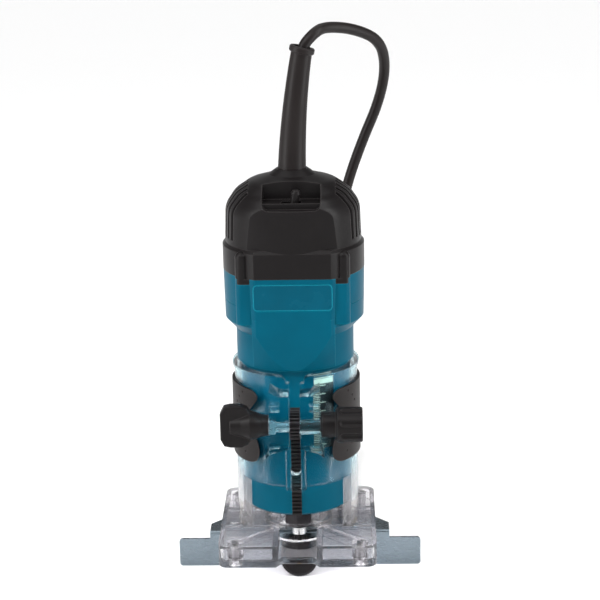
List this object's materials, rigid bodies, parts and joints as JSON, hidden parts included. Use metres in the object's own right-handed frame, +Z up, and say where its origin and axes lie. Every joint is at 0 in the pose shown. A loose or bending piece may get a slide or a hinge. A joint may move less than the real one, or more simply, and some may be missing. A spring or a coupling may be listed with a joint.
{
  "type": "trim router",
  "caption": "Corded trim router on a clear base, with rack and pinion depth setting, side clamp knob, collet and straight guide.",
  "frame": {"origin": "on the surface the tool stands on, under the centre of its outline, which is the spindle axis", "axes": "+Z up along the spindle, -Y the front with the clamp and knobs, +X to the right seen from the front"},
  "size_m": [0.144, 0.2591, 0.3225],
  "materials": {
    "clear_plastic": "clear moulded polycarbonate, glossy",
    "teal_plastic": "fine moulded texture",
    "black_plastic": "fine moulded texture",
    "black_rubber": "soft moulded rubber",
    "label": "smooth blank panel",
    "zinc_steel": "zinc plated sheet",
    "bright_steel": "machined steel",
    "black_steel": "black oxide",
    "lamination": "stacked steel laminations",
    "copper": "varnished copper wire",
    "brass": "turned brass",
    "carbon": "pressed carbon",
    "scale_print": "printed depth marks on a thin film",
    "cord_rubber": "matt cable sheath"
  },
  "bodies": {
    "base": {"base_holder": "clear_plastic", "depth_scale": "scale_print", "sole_plate": "clear_plastic", "sole_screws": "bright_steel", "brass_insert": "brass", "left_grip": "black_rubber", "right_grip": "black_rubber", "clamp_stud": "zinc_steel", "clamp_washer": "zinc_steel", "cord_hank": "cord_rubber", "cord_tail": "cord_rubber", "hank_tie": "black_plastic", "plug_body": "black_rubber", "plug_pins": "bright_steel"},
    "clamp_handle": {"clamp_knob": "black_plastic"},
    "depth_handle": {"depth_knob": "black_plastic", "depth_knob_cap": "black_plastic", "pinion": "black_steel"},
    "guide": {"guide_plate": "zinc_steel", "guide_arm": "zinc_steel", "guide_stud": "zinc_steel", "guide_washer": "zinc_steel"},
    "guide_handle": {"guide_knob": "black_plastic"},
    "thumb": {"thumb_screw": "black_plastic"},
    "motor": {"motor_housing": "teal_plastic", "top_cap": "black_plastic", "cap_screws": "black_steel", "label_plate": "label", "rack": "black_plastic", "switch_body": "black_plastic", "cord_guard": "black_rubber", "inner_lead": "cord_rubber", "cord_clamp": "black_plastic", "clamp_screws": "bright_steel", "capacitor": "label", "stator_core": "lamination", "field_coils": "copper", "air_baffle": "black_plastic", "bearing_bracket": "black_plastic", "bearing_sleeve": "black_rubber", "lower_bearing_outer": "bright_steel", "upper_bearing_outer": "bright_steel", "brush_holders": "brass", "carbon_brushes": "carbon", "brush_springs": "bright_steel", "cord_tube": "cord_rubber"},
    "lever": {"switch_lever": "black_plastic"},
    "spindle": {"spindle_shaft": "bright_steel", "armature_core": "lamination", "armature_windings": "copper", "commutator": "copper", "cooling_fan": "black_plastic", "lower_bearing_inner": "bright_steel", "upper_bearing_inner": "bright_steel", "collet_cone": "bright_steel"},
    "nut": {"collet_nut": "black_steel"}
  },
  "joints": [
    {"name": "depth_slide", "type": "slide", "parent": "base", "child": "motor", "axis": [0, 0, 1], "range_m": [0, 0.04]},
    {"name": "depth_knob_turn", "type": "hinge", "parent": "base", "child": "depth_handle", "pos_m": [0.02, -0.03979, 0.1057], "axis": [1, 0, 0], "range_deg": [0, 299]},
    {"name": "clamp_knob_turn", "type": "hinge", "parent": "base", "child": "clamp_handle", "pos_m": [-0.03, -0.03979, 0.1057], "axis": [1, 0, 0], "continuous": true},
    {"name": "guide_slide", "type": "slide", "parent": "base", "child": "guide", "axis": [0, 1, 0], "range_m": [0, 0.017]},
    {"name": "guide_knob_turn", "type": "hinge", "parent": "guide", "child": "guide_handle", "pos_m": [0, -0.003, 0.0109], "axis": [0, 1, 0], "continuous": true},
    {"name": "thumb_screw_turn", "type": "hinge", "parent": "base", "child": "thumb", "pos_m": [0, 0.038, 0.014], "axis": [0, 0, 1], "continuous": true},
    {"name": "switch_toggle", "type": "hinge", "parent": "motor", "child": "lever", "pos_m": [0, -0.0245, 0.2196], "axis": [0, 1, 0], "range_deg": [-20, 0]},
    {"name": "spindle_spin", "type": "hinge", "parent": "motor", "child": "spindle", "pos_m": [0, 0, 0.1], "axis": [0, 0, 1], "continuous": true},
    {"name": "collet_nut_turn", "type": "hinge", "parent": "spindle", "child": "nut", "pos_m": [0, 0, 0.038], "axis": [0, 0, 1], "continuous": true}
  ],
  "couplings": [
    {"joint": "depth_knob_turn", "follows": "depth_slide", "rad_per_m": 130.09}
  ]
}
